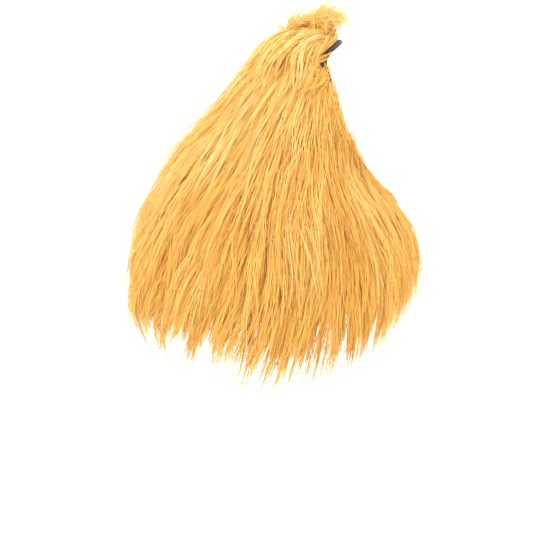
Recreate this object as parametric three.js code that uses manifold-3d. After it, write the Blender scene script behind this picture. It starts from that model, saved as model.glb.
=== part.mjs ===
// A pet's lion mane wig: a knit hood and cape, open at the face and below, covered in long pile.
// Millimetres, +Z up. The face opening looks along -Y and a little up. The wearer's right is at -X.
// The origin is on the inner face of the hood, at the top, where it sits on the crown of the head.
import * as THREE from "three";
import { mergeVertices } from "three/addons/utils/BufferGeometryUtils.js";
import Module from "manifold-3d";

const wasm = await Module();
wasm.setup();

// Knit hood and cape, measured on the inner face
const CLOTH_WALL = 2;
const HOOD_DROP = 228; // crown to the level of the chin
const CAPE_DROP = 140; // chin to the cloth's hem at the sides
const CHEST_RISE = 60; // how much higher the hem is at the chest
const RUMP_RISE = 40; // the same at the middle of the back
const FRONT_REACH = 129; // crown to the furthest point of the chest
const BACK_REACH = 253; // crown to the furthest point of the back
const HALF_WIDTH = 174;
const FOLD_DEPTH = 5; // soft folds that open towards the hem
const FOLD_COUNT = 7;

// Face opening, an egg-shaped outline that leans back, wider towards the brow
const FACE_HEIGHT = 235;
const FACE_WIDTH = 160;
const FACE_EGG = 0.3; // share that the width gains at the brow and loses at the chin
const FACE_SQUARE = 0.9; // share that the width gains besides close to the brow, for square corners
const FACE_CORNER = 6; // power of the height that this gain follows
const FACE_TILT = THREE.MathUtils.degToRad(19);
const BROW_DROP = 5; // crown to the upper edge of the opening

// Elastic edging inside the opening's edge
const BAND_WIDTH = 6;
const BAND_PROUD = 0.8; // beyond each face of the cloth

// Pile: a short dense ground with long tapered locks fused to it
const GROUND_DEPTH = 7;
const PILE_DEPTH = 28; // how far the locks stand out from the cloth
const EDGE_PILE = 0.35; // share of that depth at the face's edge
const LOCK_LENGTH = 138;
const LOCK_WIDTH = 62;
const LOCK_DEPTH = 13;
const LENGTH_SPREAD = 0.12; // by how much the locks' lengths differ, as a share
const LIFT_SPREAD = 0.25; // the same for how far they stand out
const FRINGE_DROP = 130; // hem to the lowest tips
const FACE_SETBACK = 3; // bare cloth between the opening's edge and the ground

// Crown pile: a round patch whose locks fall over the top of the panels, with a curled tuft in front
const CROWN_RADIUS = 40;
const CROWN_LIFT = 13; // height over the cloth at which its locks pass the panels
const CROWN_FALL = 72; // crown to the lowest level that they may reach
const TUFT_LOCKS = 6;
const TUFT_RADIUS = 21;
const TUFT_FORWARD = 11; // crown to the tuft's middle
const TUFT_RISE = 34;
const TUFT_CURL = 22; // radius of a lock's curl
const TUFT_TURN = THREE.MathUtils.degToRad(135); // how far a lock's curl goes round
const TUFT_TURN_SPREAD = THREE.MathUtils.degToRad(20);
const TUFT_RISE_SPREAD = 0.2;
const TUFT_SPLAY = 0.5; // how far the outer locks turn away from straight ahead
const TUFT_LOCK_WIDTH = 26;
const TUFT_LOCK_DEPTH = 12;

// Space kept between neighbouring pieces
const CLEARANCE = 0.3;
const PARTING = 0.6; // between the panels of pile

// The form from the crown down. level is 0 at the crown, 1 at the chin, 2 at the hem and 3 at the tips.
// front is a share of FRONT_REACH, middle and back of BACK_REACH, half of HALF_WIDTH.
const FORM = [
  { level: 0.0, front: 0.0, middle: 0.0, back: 0.0, half: 0.0 },
  { level: 0.03, front: 0.26, middle: 0.0, back: 0.15, half: 0.22 },
  { level: 0.1, front: 0.35, middle: 0.04, back: 0.24, half: 0.345 },
  { level: 0.25, front: 0.43, middle: 0.075, back: 0.35, half: 0.48 },
  { level: 0.45, front: 0.52, middle: 0.12, back: 0.49, half: 0.575 },
  { level: 0.65, front: 0.55, middle: 0.16, back: 0.64, half: 0.67 },
  { level: 0.85, front: 0.61, middle: 0.19, back: 0.78, half: 0.77 },
  { level: 1.0, front: 0.77, middle: 0.215, back: 0.85, half: 0.83 },
  { level: 1.3, front: 0.9, middle: 0.235, back: 0.92, half: 0.9 },
  { level: 1.65, front: 0.98, middle: 0.245, back: 0.97, half: 0.96 },
  { level: 2.0, front: 1.0, middle: 0.25, back: 1.0, half: 1.0 },
  { level: 2.5, front: 0.94, middle: 0.25, back: 0.97, half: 0.99 },
  { level: 3.0, front: 0.83, middle: 0.25, back: 0.88, half: 0.94 },
];

// A lock's outline from root to tip. along is a share of its length, and width of its full width.
const LOCK_OUTLINE = [
  { along: 0.0, width: 0.75 },
  { along: 0.33, width: 0.94 },
  { along: 0.67, width: 0.59 },
  { along: 1.0, width: 0.0 },
];

// Rows of locks. length, width and depth are shares of the lock sizes.
// rise is how soon a lock stands out: at 2 it has its full lift by the middle of its length.
const LOCK_ROWS = [
  { level: 0.11, length: 0.7, width: 0.65, depth: 0.8, rise: 1.4 },
  { level: 0.34, length: 0.9, width: 0.85, depth: 0.95, rise: 1.4 },
  { level: 0.66, length: 1.0, width: 1.0, depth: 1.0, rise: 1.4 },
  { level: 1.04, length: 1.0, width: 1.0, depth: 1.0, rise: 1.4 },
  { level: 1.5, length: 1.0, width: 1.0, depth: 1.0, rise: 1.4 },
  { level: 1.88, length: 0.95, width: 0.95, depth: 1.0, rise: 1.4 },
];
const CROWN_ROWS = [
  { level: 0.012, length: 0.66, width: 0.5, depth: 0.9, rise: 3.5 },
  { level: 0.036, length: 0.58, width: 0.5, depth: 0.9, rise: 3.5 },
];

// Flow lines run from 0 at the face's edge to 1 at the middle of the back. These shares of them are the
// front panel's and the nape panel's on each side, and the side panels have the rest.
const FRONT_SHARE = 0.2;
const NAPE_SHARE = 0.34;

// The panels' spaces, from just under the crown to below the lowest tips, and from under the cloth
// to beyond the locks
const SPACE_TOP = 0.01;
const SPACE_FOOT = 3.3;
const SPACE_REACH = 3 * PILE_DEPTH;
const SPACE_ROOT = PILE_DEPTH / 2;

// Finishes
const KNIT = { color: 0xd9a65e, roughness: 0.95 };
const ELASTIC = { color: 0x2a2119, roughness: 0.8 };
const CROWN_PILE = { color: 0xf6c67a, roughness: 0.85 };
const FRONT_PILE = { color: 0xeeb25c, roughness: 0.85 };
const SIDE_PILE = { color: 0xf0b056, roughness: 0.85 };
const NAPE_PILE = { color: 0xf2b763, roughness: 0.85 };

// Mesh fineness
const AROUND = 28;
const LOCK_SIDES = 3;
const PANEL_COLUMNS = 10;
const TRACE_STEPS = 24; // steps in which a lock's fall along the form is followed
const TINY = 1e-3;
const MERGE = 1e-4;

const UP = new THREE.Vector3(0, 0, 1);
const GOLDEN_ANGLE = Math.PI * (3 - Math.sqrt(5)); // spreads points evenly over a disc

const columns = ["front", "middle", "back", "half"];
const formCurve = new THREE.CubicInterpolant(
  FORM.map((row) => Math.sqrt(row.level)),
  FORM.flatMap((row) => columns.map((column) => row[column])),
  columns.length,
);

// The ring at a level: its height, how far it reaches front and back, its middle and half its width
function ring(level) {
  const [front, middle, back, half] = formCurve.evaluate(Math.sqrt(Math.max(level, 0)));
  const drop =
    HOOD_DROP * Math.min(level, 1) +
    CAPE_DROP * THREE.MathUtils.clamp(level - 1, 0, 1) +
    FRINGE_DROP * Math.max(level - 2, 0);
  return {
    height: -drop,
    front: -front * FRONT_REACH,
    middle: middle * BACK_REACH,
    back: back * BACK_REACH,
    half: half * HALF_WIDTH,
  };
}

// A point of the inner face. angle is 0 at the front and grows towards the wearer's left.
function innerPoint(angle, level) {
  const { height, front, middle, back, half } = ring(level);
  const opened = THREE.MathUtils.clamp(level - 1, 0, 1);
  const fold = 1 + (FOLD_DEPTH / HALF_WIDTH) * opened * Math.cos(FOLD_COUNT * angle);
  const toFront = Math.cos(angle) > 0;
  const reach = toFront ? middle - front : back - middle;
  const rise = (toFront ? CHEST_RISE : RUMP_RISE) * opened * Math.cos(angle) ** 2;
  return new THREE.Vector3(
    half * fold * Math.sin(angle),
    middle - reach * fold * Math.cos(angle),
    height + rise,
  );
}

// The same point moved out from the inner face by lift
function skinPoint(angle, level, lift) {
  const here = innerPoint(angle, level);
  return here.addScaledVector(skinNormal(angle, level), lift);
}

function skinNormal(angle, level) {
  const above = Math.max(level - TINY, 0);
  const down = innerPoint(angle, level + TINY).sub(innerPoint(angle, above));
  const across = innerPoint(angle + TINY, level).sub(innerPoint(angle - TINY, level));
  const normal = down.cross(across);
  return normal.length() > 0 ? normal.normalize() : UP.clone();
}

// The opening's frame: its centre on the hood's front, its line of sight and its long axis
const sight = new THREE.Vector3(0, -Math.cos(FACE_TILT), Math.sin(FACE_TILT));
const faceUp = new THREE.Vector3(0, Math.sin(FACE_TILT), Math.cos(FACE_TILT));
const faceDrop = BROW_DROP + (FACE_HEIGHT / 2) * Math.cos(FACE_TILT);
const faceCentre = innerPoint(0, faceDrop / HOOD_DROP);

// The opening's width as a share of its full width. along runs from -1 at the chin to 1 at the brow.
function eggWidth(along) {
  return 1 + FACE_EGG * along + FACE_SQUARE * Math.max(along, 0) ** FACE_CORNER;
}

function inFace(point, margin) {
  const along = point.clone().sub(faceCentre).dot(faceUp) / (FACE_HEIGHT / 2 + margin);
  const across = point.x / (FACE_WIDTH / 2 + margin) / eggWidth(along);
  return across * across + along * along < 1;
}

// The angle at which the ring at a level leaves the face opening, or 0 where it has none
function edgeAngle(level) {
  if (!inFace(innerPoint(0, level), FACE_SETBACK)) return 0;
  let inside = 0;
  let outside = Math.PI / 2;
  while (outside - inside > TINY) {
    const trial = (inside + outside) / 2;
    if (inFace(innerPoint(trial, level), FACE_SETBACK)) inside = trial;
    else outside = trial;
  }
  return outside;
}

// The angle of a flow line, along which the pile falls. Negative lines are on the wearer's right.
function flowAngle(line, level) {
  const edge = edgeAngle(level);
  return Math.sign(line) * (edge + (Math.PI - edge) * Math.abs(line));
}

// A closed three.js geometry as a solid for joining and cutting
function solidFrom(geometry) {
  const bare = new THREE.BufferGeometry();
  bare.setAttribute("position", geometry.getAttribute("position"));
  bare.setIndex(geometry.getIndex());
  const merged = mergeVertices(bare, MERGE);
  return new wasm.Manifold(
    new wasm.Mesh({
      numProp: 3,
      vertProperties: new Float32Array(merged.getAttribute("position").array),
      triVerts: new Uint32Array(merged.getIndex().array),
    }),
  );
}

// Moves every vertex of a geometry to where place puts it
function mould(geometry, place) {
  const position = geometry.getAttribute("position");
  const vertex = new THREE.Vector3();
  for (let i = 0; i < position.count; i++) {
    vertex.fromBufferAttribute(position, i);
    const moved = place(vertex);
    position.setXYZ(i, moved.x, moved.y, moved.z);
  }
  return geometry;
}

function joined(solids) {
  return solids.reduce((whole, piece) => whole.add(piece));
}

// The filled form at an offset from the inner face, down to past the hem
const ringLevels = FORM.map((row) => row.level).filter((level) => level > 0);
const clothLevels = ringLevels.filter((level) => level <= 2);
const spaceLevels = [SPACE_TOP, ...ringLevels, SPACE_FOOT];

function filledForm(lift, levels) {
  const bands = levels.length - 1;
  const geometry = new THREE.CylinderGeometry(1, 1, 1, AROUND, bands);
  return solidFrom(
    mould(geometry, (vertex) => {
      const level = levels[Math.round((0.5 - vertex.y) * bands)];
      if (Math.hypot(vertex.x, vertex.z) > 0.5) {
        return skinPoint(Math.atan2(vertex.x, vertex.z), level, lift);
      }
      if (vertex.y > 0) return UP.clone().multiplyScalar(lift);
      const { middle, height } = ring(level);
      return new THREE.Vector3(0, middle, height);
    }),
  );
}

// A layer of the form between two offsets, open below at the hem
function shell(inner, outer) {
  return filledForm(outer, clothLevels).subtract(filledForm(inner, ringLevels));
}

// The opening's outline carried along its line of sight, from inside the hood to well in front
function faceCutter(margin) {
  const geometry = new THREE.CylinderGeometry(1, 1, 2 * FRONT_REACH, AROUND);
  const across = new THREE.Vector3().crossVectors(sight, faceUp);
  const start = faceCentre.clone().addScaledVector(sight, FRONT_REACH / 2);
  return solidFrom(
    mould(geometry, (vertex) =>
      start
        .clone()
        .addScaledVector(sight, vertex.y)
        .addScaledVector(faceUp, vertex.z * (FACE_HEIGHT / 2 + margin))
        .addScaledVector(across, vertex.x * (FACE_WIDTH / 2 + margin) * eggWidth(vertex.z)),
    ),
  );
}

// One half of the knit hood and cape. The seam runs along the middle, over the crown and down the chest.
function halfCloth(side) {
  const cloth = shell(0, CLOTH_WALL).subtract(faceCutter(0));
  return cloth.trimByPlane([side, 0, 0], CLEARANCE / 2);
}

function faceBand() {
  const strip = shell(-BAND_PROUD, CLOTH_WALL + BAND_PROUD);
  const outline = faceCutter(-CLEARANCE).subtract(faceCutter(-CLEARANCE - BAND_WIDTH));
  return strip.intersect(outline);
}

// A repeatable number from -1 to 1 for each list of keys
function chance(...keys) {
  const [stride, turn, spread] = [31, 12.9898, 43758.5453];
  const seed = keys.reduce((sum, key) => sum * stride + key + 1, 0);
  const wave = Math.sin(seed * turn) * spread;
  return 2 * (wave - Math.floor(wave)) - 1;
}

// A tapered lock with a flattened section. place(share) gives its centre and the way its outer side faces.
function lock(place, width, depth) {
  const steps = LOCK_OUTLINE.length - 1;
  const geometry = new THREE.ConeGeometry(1, 1, LOCK_SIDES, steps);
  return solidFrom(
    mould(geometry, (vertex) => {
      const rise = vertex.y + 0.5;
      const station = LOCK_OUTLINE[Math.round(rise * steps)];
      const { centre, outward } = place(station.along);
      const ahead = place(Math.min(station.along + TINY, 1)).centre;
      const behind = place(Math.max(station.along - TINY, 0)).centre;
      const heading = ahead.sub(behind).normalize();
      const side = new THREE.Vector3().crossVectors(heading, outward).normalize();
      const face = new THREE.Vector3().crossVectors(side, heading);
      const swell = station.width / Math.max(1 - rise, TINY);
      return centre
        .clone()
        .addScaledVector(side, (vertex.x * swell * width) / 2)
        .addScaledVector(face, (vertex.z * swell * depth) / 2);
    }),
  );
}

// How much of its full depth the pile has at a flow line: beside the face it lies flatter
function pileShare(line, level) {
  const fromFace = Math.min(Math.abs(line) / FRONT_SHARE, 1);
  return level < 1 ? THREE.MathUtils.lerp(EDGE_PILE, 1, fromFace) : 1;
}

// A lock that leaves the ground at a flow line and level, and falls along the form
function hangingLock(line, row, width, keys) {
  const length = row.length * LOCK_LENGTH * (1 + LENGTH_SPREAD * chance(...keys, 1));
  const depth = row.depth * LOCK_DEPTH;
  const trace = [];
  let here = row.level;
  for (let i = 0; i <= TRACE_STEPS; i++) {
    trace.push(here);
    const at = innerPoint(flowAngle(line, here), here);
    const next = innerPoint(flowAngle(line, here + TINY), here + TINY);
    here += (TINY * length) / TRACE_STEPS / Math.max(at.distanceTo(next), TINY);
  }
  const low = GROUND_DEPTH / 2;
  const full = (PILE_DEPTH - depth / 2) * pileShare(line, row.level);
  const high = full * (1 + LIFT_SPREAD * chance(...keys, 2));
  const place = (share) => {
    const step = Math.min(share * TRACE_STEPS, TRACE_STEPS - TINY);
    const index = Math.floor(step);
    const level = THREE.MathUtils.lerp(trace[index], trace[index + 1], step - index);
    const angle = flowAngle(line, level);
    const raised = Math.sin((Math.PI / 2) * Math.min(share * row.rise, 1));
    const lift = CLOTH_WALL + THREE.MathUtils.lerp(low, high, raised);
    return { centre: skinPoint(angle, level, lift), outward: skinNormal(angle, level) };
  };
  return lock(place, width, depth);
}

// Locks between two flow lines of one side: in each row as many as its arc has room for, and staggered
function locksBetween(rows, from, to, side) {
  const locks = [];
  rows.forEach((row, rowIndex) => {
    const rooted = (line) => innerPoint(flowAngle(side * line, row.level), row.level);
    const middle = rooted((from + to) / 2);
    const arc = rooted(from).distanceTo(middle) + middle.distanceTo(rooted(to));
    const count = Math.max(Math.round(arc / (row.width * LOCK_WIDTH)), 1);
    const stagger = rowIndex % 2 ? side / 4 : -side / 4;
    for (let i = 0; i < count; i++) {
      const share = (i + 0.5 + stagger) / count;
      const line = side * THREE.MathUtils.lerp(from, to, share);
      const width = Math.min(row.width * LOCK_WIDTH, arc / count);
      locks.push(hangingLock(line, row, width, [from, side, rowIndex, i]));
    }
  });
  return locks;
}

// The space between two flow lines, drawn in by inset
function lineSpace(first, last, inset) {
  const bands = spaceLevels.length - 1;
  const geometry = new THREE.BoxGeometry(1, 1, 1, PANEL_COLUMNS, bands, 1);
  return solidFrom(
    mould(geometry, (vertex) => {
      const level = spaceLevels[Math.round((0.5 - vertex.y) * bands)];
      const drawnIn = (-2 * vertex.x * inset) / (Math.PI * ring(level).half);
      const line = THREE.MathUtils.lerp(first, last, vertex.x + 0.5) + drawnIn;
      const lift = vertex.z > 0 ? SPACE_REACH : -SPACE_ROOT;
      return skinPoint(flowAngle(line, level), level, lift);
    }),
  );
}

function frontSpace(inset) {
  return lineSpace(-FRONT_SHARE, FRONT_SHARE, inset);
}

function napeSpace(inset) {
  return lineSpace(1 - NAPE_SHARE, 1 + NAPE_SHARE, inset);
}

// One side of the wig, between the front and the nape
function sideSpace(side) {
  const size = 4 * BACK_REACH;
  const geometry = new THREE.BoxGeometry(size, size, size);
  geometry.translate((side * size) / 2, 0, 0);
  return solidFrom(geometry)
    .subtract(frontSpace(-PARTING / 2))
    .subtract(napeSpace(-PARTING / 2));
}

// The round post over the crown's patch, widened by gap
function crownPost(gap) {
  const radius = CROWN_RADIUS + gap;
  const geometry = new THREE.CylinderGeometry(radius, radius, 2 * CROWN_FALL, AROUND);
  geometry.rotateX(Math.PI / 2);
  return solidFrom(geometry);
}

// The crown pile's space: the post, and a skirt that passes over the panels
function crownSpace(gap) {
  const height = 2 * CROWN_FALL;
  const around = new THREE.CylinderGeometry(BACK_REACH, BACK_REACH, height, AROUND);
  around.rotateX(Math.PI / 2);
  around.translate(0, 0, height / 2 - CROWN_FALL - gap);
  const skirt = solidFrom(around).subtract(filledForm(CROWN_LIFT - gap, spaceLevels));
  return crownPost(gap).add(skirt);
}

const clothSkin = CLOTH_WALL + CLEARANCE;
const ground = shell(clothSkin, clothSkin + GROUND_DEPTH);
const underside = filledForm(clothSkin, ringLevels);
const openFace = faceCutter(FACE_SETBACK);

// A panel's ground and locks, kept to its own space and clear of the cloth and the face
function panelFur(locks, space) {
  return joined([ground, ...locks])
    .intersect(space)
    .subtract(crownSpace(CLEARANCE))
    .subtract(underside)
    .subtract(openFace);
}

function frontFur() {
  const locks = [-1, 1].flatMap((side) => locksBetween(LOCK_ROWS, 0, FRONT_SHARE, side));
  return panelFur(locks, frontSpace(PARTING / 2));
}

function sideFur(side) {
  const locks = locksBetween(LOCK_ROWS, FRONT_SHARE, 1 - NAPE_SHARE, side);
  return panelFur(locks, sideSpace(side));
}

function napeFur() {
  const locks = [-1, 1].flatMap((side) => locksBetween(LOCK_ROWS, 1 - NAPE_SHARE, 1, side));
  return panelFur(locks, napeSpace(PARTING / 2));
}

// A lock of the tuft: it stands up from the crown and curls forward
function tuftLock(index) {
  const radius = TUFT_RADIUS * Math.sqrt((index + 0.5) / TUFT_LOCKS);
  const angle = index * GOLDEN_ANGLE;
  const root = new THREE.Vector3(
    radius * Math.sin(angle),
    radius * Math.cos(angle) - TUFT_FORWARD,
    CLOTH_WALL,
  );
  const heading = new THREE.Vector3(TUFT_SPLAY * Math.sin(angle), -1, 0).normalize();
  const rise = TUFT_RISE * (1 + TUFT_RISE_SPREAD * chance(index, 1));
  const curl = TUFT_TURN + TUFT_TURN_SPREAD * chance(index, 2);
  const place = (share) => {
    const turn = share * curl;
    const centre = root
      .clone()
      .addScaledVector(UP, rise * Math.sin(turn))
      .addScaledVector(heading, TUFT_CURL * (1 - Math.cos(turn)));
    const outward = UP.clone().multiplyScalar(Math.sin(turn)).addScaledVector(heading, -Math.cos(turn));
    return { centre, outward };
  };
  return lock(place, TUFT_LOCK_WIDTH, TUFT_LOCK_DEPTH);
}

function crownFur() {
  const falling = [-1, 1].flatMap((side) => locksBetween(CROWN_ROWS, 0, 1, side));
  const tuft = Array.from({ length: TUFT_LOCKS }, (_, index) => tuftLock(index));
  const patch = ground.intersect(crownPost(0));
  return joined([patch, ...falling, ...tuft])
    .intersect(crownSpace(0))
    .subtract(underside)
    .subtract(openFace);
}

// The largest body of a solid, with the pockets that crossing locks close off filled
function whole(solid) {
  const bodies = solid.decompose();
  return bodies.reduce((best, body) => (body.volume() > best.volume() ? body : best));
}

function meshOf(solid) {
  const { vertProperties, triVerts, numProp } = solid.getMesh();
  const geometry = new THREE.BufferGeometry();
  geometry.setAttribute("position", new THREE.BufferAttribute(vertProperties, numProp));
  geometry.setIndex(new THREE.BufferAttribute(triVerts, 1));
  geometry.computeVertexNormals();
  return geometry;
}

const wig = new THREE.Group();

function addPiece(name, solid, finish) {
  const mesh = new THREE.Mesh(meshOf(solid), new THREE.MeshStandardMaterial(finish));
  mesh.name = name;
  wig.add(mesh);
}

addPiece("right_cloth", halfCloth(-1), KNIT);
addPiece("left_cloth", halfCloth(1), KNIT);
addPiece("face_band", faceBand(), ELASTIC);
addPiece("crown_fur", whole(crownFur()), CROWN_PILE);
addPiece("front_fur", whole(frontFur()), FRONT_PILE);
addPiece("right_fur", whole(sideFur(-1)), SIDE_PILE);
addPiece("left_fur", whole(sideFur(1)), SIDE_PILE);
addPiece("nape_fur", whole(napeFur()), NAPE_PILE);

export default wig;
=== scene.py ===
import math

import bmesh
import bpy
import numpy as np
from bpy.props import FloatProperty, FloatVectorProperty, IntProperty, PointerProperty
from bpy.types import Operator, Panel, PropertyGroup
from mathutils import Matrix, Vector


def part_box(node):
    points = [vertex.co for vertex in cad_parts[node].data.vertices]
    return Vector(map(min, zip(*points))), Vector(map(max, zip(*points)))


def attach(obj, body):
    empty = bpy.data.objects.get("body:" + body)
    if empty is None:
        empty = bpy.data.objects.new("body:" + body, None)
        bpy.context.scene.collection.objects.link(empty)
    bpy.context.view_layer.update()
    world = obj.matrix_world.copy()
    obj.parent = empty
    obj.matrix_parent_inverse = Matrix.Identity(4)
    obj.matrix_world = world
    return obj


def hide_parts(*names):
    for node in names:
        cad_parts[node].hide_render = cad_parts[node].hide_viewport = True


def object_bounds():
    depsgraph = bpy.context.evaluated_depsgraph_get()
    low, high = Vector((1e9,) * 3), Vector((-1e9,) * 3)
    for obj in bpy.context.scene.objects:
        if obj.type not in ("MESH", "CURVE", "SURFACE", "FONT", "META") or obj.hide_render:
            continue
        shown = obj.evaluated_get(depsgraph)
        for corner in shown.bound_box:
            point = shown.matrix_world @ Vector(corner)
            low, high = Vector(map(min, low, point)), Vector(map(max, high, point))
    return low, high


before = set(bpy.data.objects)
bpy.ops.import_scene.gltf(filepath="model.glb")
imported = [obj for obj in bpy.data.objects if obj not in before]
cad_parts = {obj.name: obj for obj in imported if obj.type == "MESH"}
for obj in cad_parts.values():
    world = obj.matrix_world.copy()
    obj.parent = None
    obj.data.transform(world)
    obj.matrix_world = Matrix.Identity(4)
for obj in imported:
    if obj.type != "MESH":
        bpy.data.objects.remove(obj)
CAD_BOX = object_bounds()

bl_info = {
    "name": "Mane Wig",
    "version": (1, 0, 0),
    "blender": (4, 5, 0),
    "location": "View3D > Sidebar > Mane Wig",
    "description": "Dresses the packed mane wig with pile, knit, elastic and a plain studio",
    "category": "Object",
}

MM = 0.001
BODY = "root"
PILE_MAP = "OFBake"
CLOTH_MAP = "Cut"
TINY = 1e-4

# The room that loose pile may take: the solids' box with a share of each side and a margin
ROOM_SHARE = 0.03
ROOM_MARGIN = 9 * MM
CORNERS = np.array(CAD_BOX)
PROUD = ROOM_SHARE * (CORNERS[1] - CORNERS[0]) + ROOM_MARGIN
ROOM = (CORNERS[0] - PROUD, CORNERS[1] + PROUD)

# The hood's own sizes. Angle 0 is the front, and the wearer's left is +X.
HOOD_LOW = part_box("right_cloth")[0]
WALL = 2 * MM
FOLD_COUNT = 7
FOLD_DEPTH = 5 * MM
HALF_WIDTH = 174 * MM
FRONT_REACH = 129 * MM
BACK_REACH = 253 * MM
HOOD_DROP = 228 * MM
CAPE_DROP = -HOOD_LOW.z - HOOD_DROP
CHEST_RISE = 60 * MM
RUMP_RISE = 40 * MM
FRINGE_DROP = 130 * MM

# The face opening, an egg with squarer upper corners that leans back, and the elastic edging in it
FACE_HEIGHT = 235 * MM
FACE_WIDTH = 160 * MM
FACE_EGG = 0.3
FACE_SQUARE = 0.9
FACE_CORNER = 6
FACE_TILT = math.radians(19)
BROW_DROP = 5 * MM
FACE_SETBACK = 1.5 * MM
BAND_WIDTH = 6 * MM
BAND_PROUD = 0.8 * MM
CLEARANCE = 0.3 * MM

# The form from the crown down. level is 0 at the crown, 1 at the chin, 2 at the hem and 3 at the tips.
# front is a share of FRONT_REACH, middle and back of BACK_REACH, half of HALF_WIDTH.
FORM = np.array([
    # level, front, middle, back, half
    (0.0, 0.0, 0.0, 0.0, 0.0),
    (0.03, 0.26, 0.0, 0.15, 0.22),
    (0.1, 0.35, 0.04, 0.24, 0.345),
    (0.25, 0.43, 0.075, 0.35, 0.48),
    (0.45, 0.52, 0.12, 0.49, 0.575),
    (0.65, 0.55, 0.16, 0.64, 0.67),
    (0.85, 0.61, 0.19, 0.78, 0.77),
    (1.0, 0.77, 0.215, 0.85, 0.83),
    (1.3, 0.9, 0.235, 0.92, 0.9),
    (1.65, 0.98, 0.245, 0.97, 0.96),
    (2.0, 1.0, 0.25, 1.0, 1.0),
    (2.5, 0.94, 0.25, 0.97, 0.99),
    (3.0, 0.83, 0.25, 0.88, 0.94),
])

# Shares of the way round from the face's edge to the middle of the back: the front panel has the first,
# and the nape panel the last
FRONT_SHARE = 0.2
NAPE_SHARE = 0.34

# How finely the form is searched for the opening's edge, and for the lines that the pile falls along
EDGE_LEVELS = np.linspace(0, 1.2, 2401)
EDGE_HALVINGS = 20
LOOP_FOOT = 1.3
LOOP_HALVINGS = 40
RIM_STATIONS = 120
FLOW_LEVELS = np.linspace(0.02, 1.9, 420) ** 2
FLOW_LINES = np.linspace(0, 2, 161)
PLOT_ANGLES = np.linspace(-math.pi, math.pi, 481)

# How the pile lies: flat beside the face and full away from it, and how low its tips come
EDGE_PILE = 0.3
PILE_RAMP = 48 * MM
EDGE_CLOSE = 0.35
EDGE_COMB = 30 * MM
PARTING_MARGIN = 2 * MM
CHEST_GATHER = 0.15
NARROWEST_PITCH = 25 * MM
TIP_BELOW_HEM = 142 * MM
BACK_LEAN = 0.55

# The hollow between the cheek's pile and the chest's: an angle and level that it runs through, its form, and
# the painted shade that deepens the tone in it
HOLLOW_AT = (1.0, 1.28)
HOLLOW_WIDTH = 0.07
HOLLOW_DEPTH = 0.5
HOLLOW_SHADE = 0.3

# Seed and size of each smooth random field: how high locks lie, how they lean, how they wave, and the hem
LIFT_LUMPS = (3, 48 * MM)
LEAN_LUMPS = (4, 85 * MM)
WAVE_LUMPS = (5, 120 * MM)
HEM_LUMPS = (6, 60 * MM)
LUMP_WAVES = 9

# Steps of a sequence that fills a square evenly, without gaps or heaps
EVEN_STEPS = (0.7548776662466927, 0.5698402909980532)


def unit(vectors):
    return vectors / np.maximum(np.linalg.norm(vectors, axis=-1, keepdims=True), 1e-12)


def ease(x):
    """0 below 0, 1 above 1, and a smooth rise between them."""
    x = np.clip(x, 0, 1)
    return x * x * (3 - 2 * x)


def smooth_columns(at, knots, rows):
    """A smooth curve through a table's rows, with the mean of the neighbouring slopes at each row."""
    secant = np.diff(rows, axis=0) / np.diff(knots)[:, None]
    slope = np.concatenate([secant[:1], (secant[1:] + secant[:-1]) / 2, secant[-1:]])
    at = np.clip(at, knots[0], knots[-1])
    index = np.clip(np.searchsorted(knots, at, side="right") - 1, 0, len(knots) - 2)
    width = knots[index + 1] - knots[index]
    t = ((at - knots[index]) / width)[..., None]
    width = width[..., None]
    low, high = rows[index], rows[index + 1]
    rise, fall = slope[index] * width, slope[index + 1] * width
    return (
        (2 * t**3 - 3 * t**2 + 1) * low + (t**3 - 2 * t**2 + t) * rise
        + (3 * t**2 - 2 * t**3) * high + (t**3 - t**2) * fall
    )


def ring(level):
    """Height, front, middle, back and half width of the inner face at a level."""
    shares = smooth_columns(np.sqrt(np.maximum(level, 0)), np.sqrt(FORM[:, 0]), FORM[:, 1:])
    drop = (
        HOOD_DROP * np.minimum(level, 1) + CAPE_DROP * np.clip(level - 1, 0, 1)
        + FRINGE_DROP * np.maximum(level - 2, 0)
    )
    front, middle, back, half = np.moveaxis(shares, -1, 0)
    return -drop, -front * FRONT_REACH, middle * BACK_REACH, back * BACK_REACH, half * HALF_WIDTH


def hem_rise(angle):
    """How much higher the hem is at an angle than at the sides."""
    return np.where(np.cos(angle) > 0, CHEST_RISE, RUMP_RISE) * np.cos(angle) ** 2


def inner_point(angle, level):
    """Points of the hood's inner face, which has shallow folds towards the hem."""
    height, front, middle, back, half = ring(level)
    opened = np.clip(level - 1, 0, 1)
    fold = 1 + FOLD_DEPTH / HALF_WIDTH * opened * np.cos(FOLD_COUNT * angle)
    reach = np.where(np.cos(angle) > 0, middle - front, back - middle)
    return np.stack([
        half * fold * np.sin(angle), middle - reach * fold * np.cos(angle),
        height + hem_rise(angle) * opened,
    ], -1)


def skin_normal(angle, level):
    """Which way the hood's inner face looks outwards."""
    level = np.maximum(level, 2 * TINY)
    down = inner_point(angle, level + TINY) - inner_point(angle, level - TINY)
    across = inner_point(angle + TINY, level) - inner_point(angle - TINY, level)
    return unit(np.cross(down, across))


def skin_point(angle, level, lift):
    """Points that stand a lift off the hood's inner face."""
    return inner_point(angle, level) + skin_normal(angle, level) * np.asarray(lift)[..., None]


FACE_UP = np.array((0, math.sin(FACE_TILT), math.cos(FACE_TILT)))
FACE_DROP = BROW_DROP + FACE_HEIGHT / 2 * math.cos(FACE_TILT)
FACE_CENTRE = inner_point(np.array(0.0), np.array(FACE_DROP / HOOD_DROP))


def egg_width(along):
    """The opening's width at a height, from -1 at the chin to 1 at the brow, as a share of FACE_WIDTH."""
    return 1 + FACE_EGG * along + FACE_SQUARE * np.maximum(along, 0) ** FACE_CORNER


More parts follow.
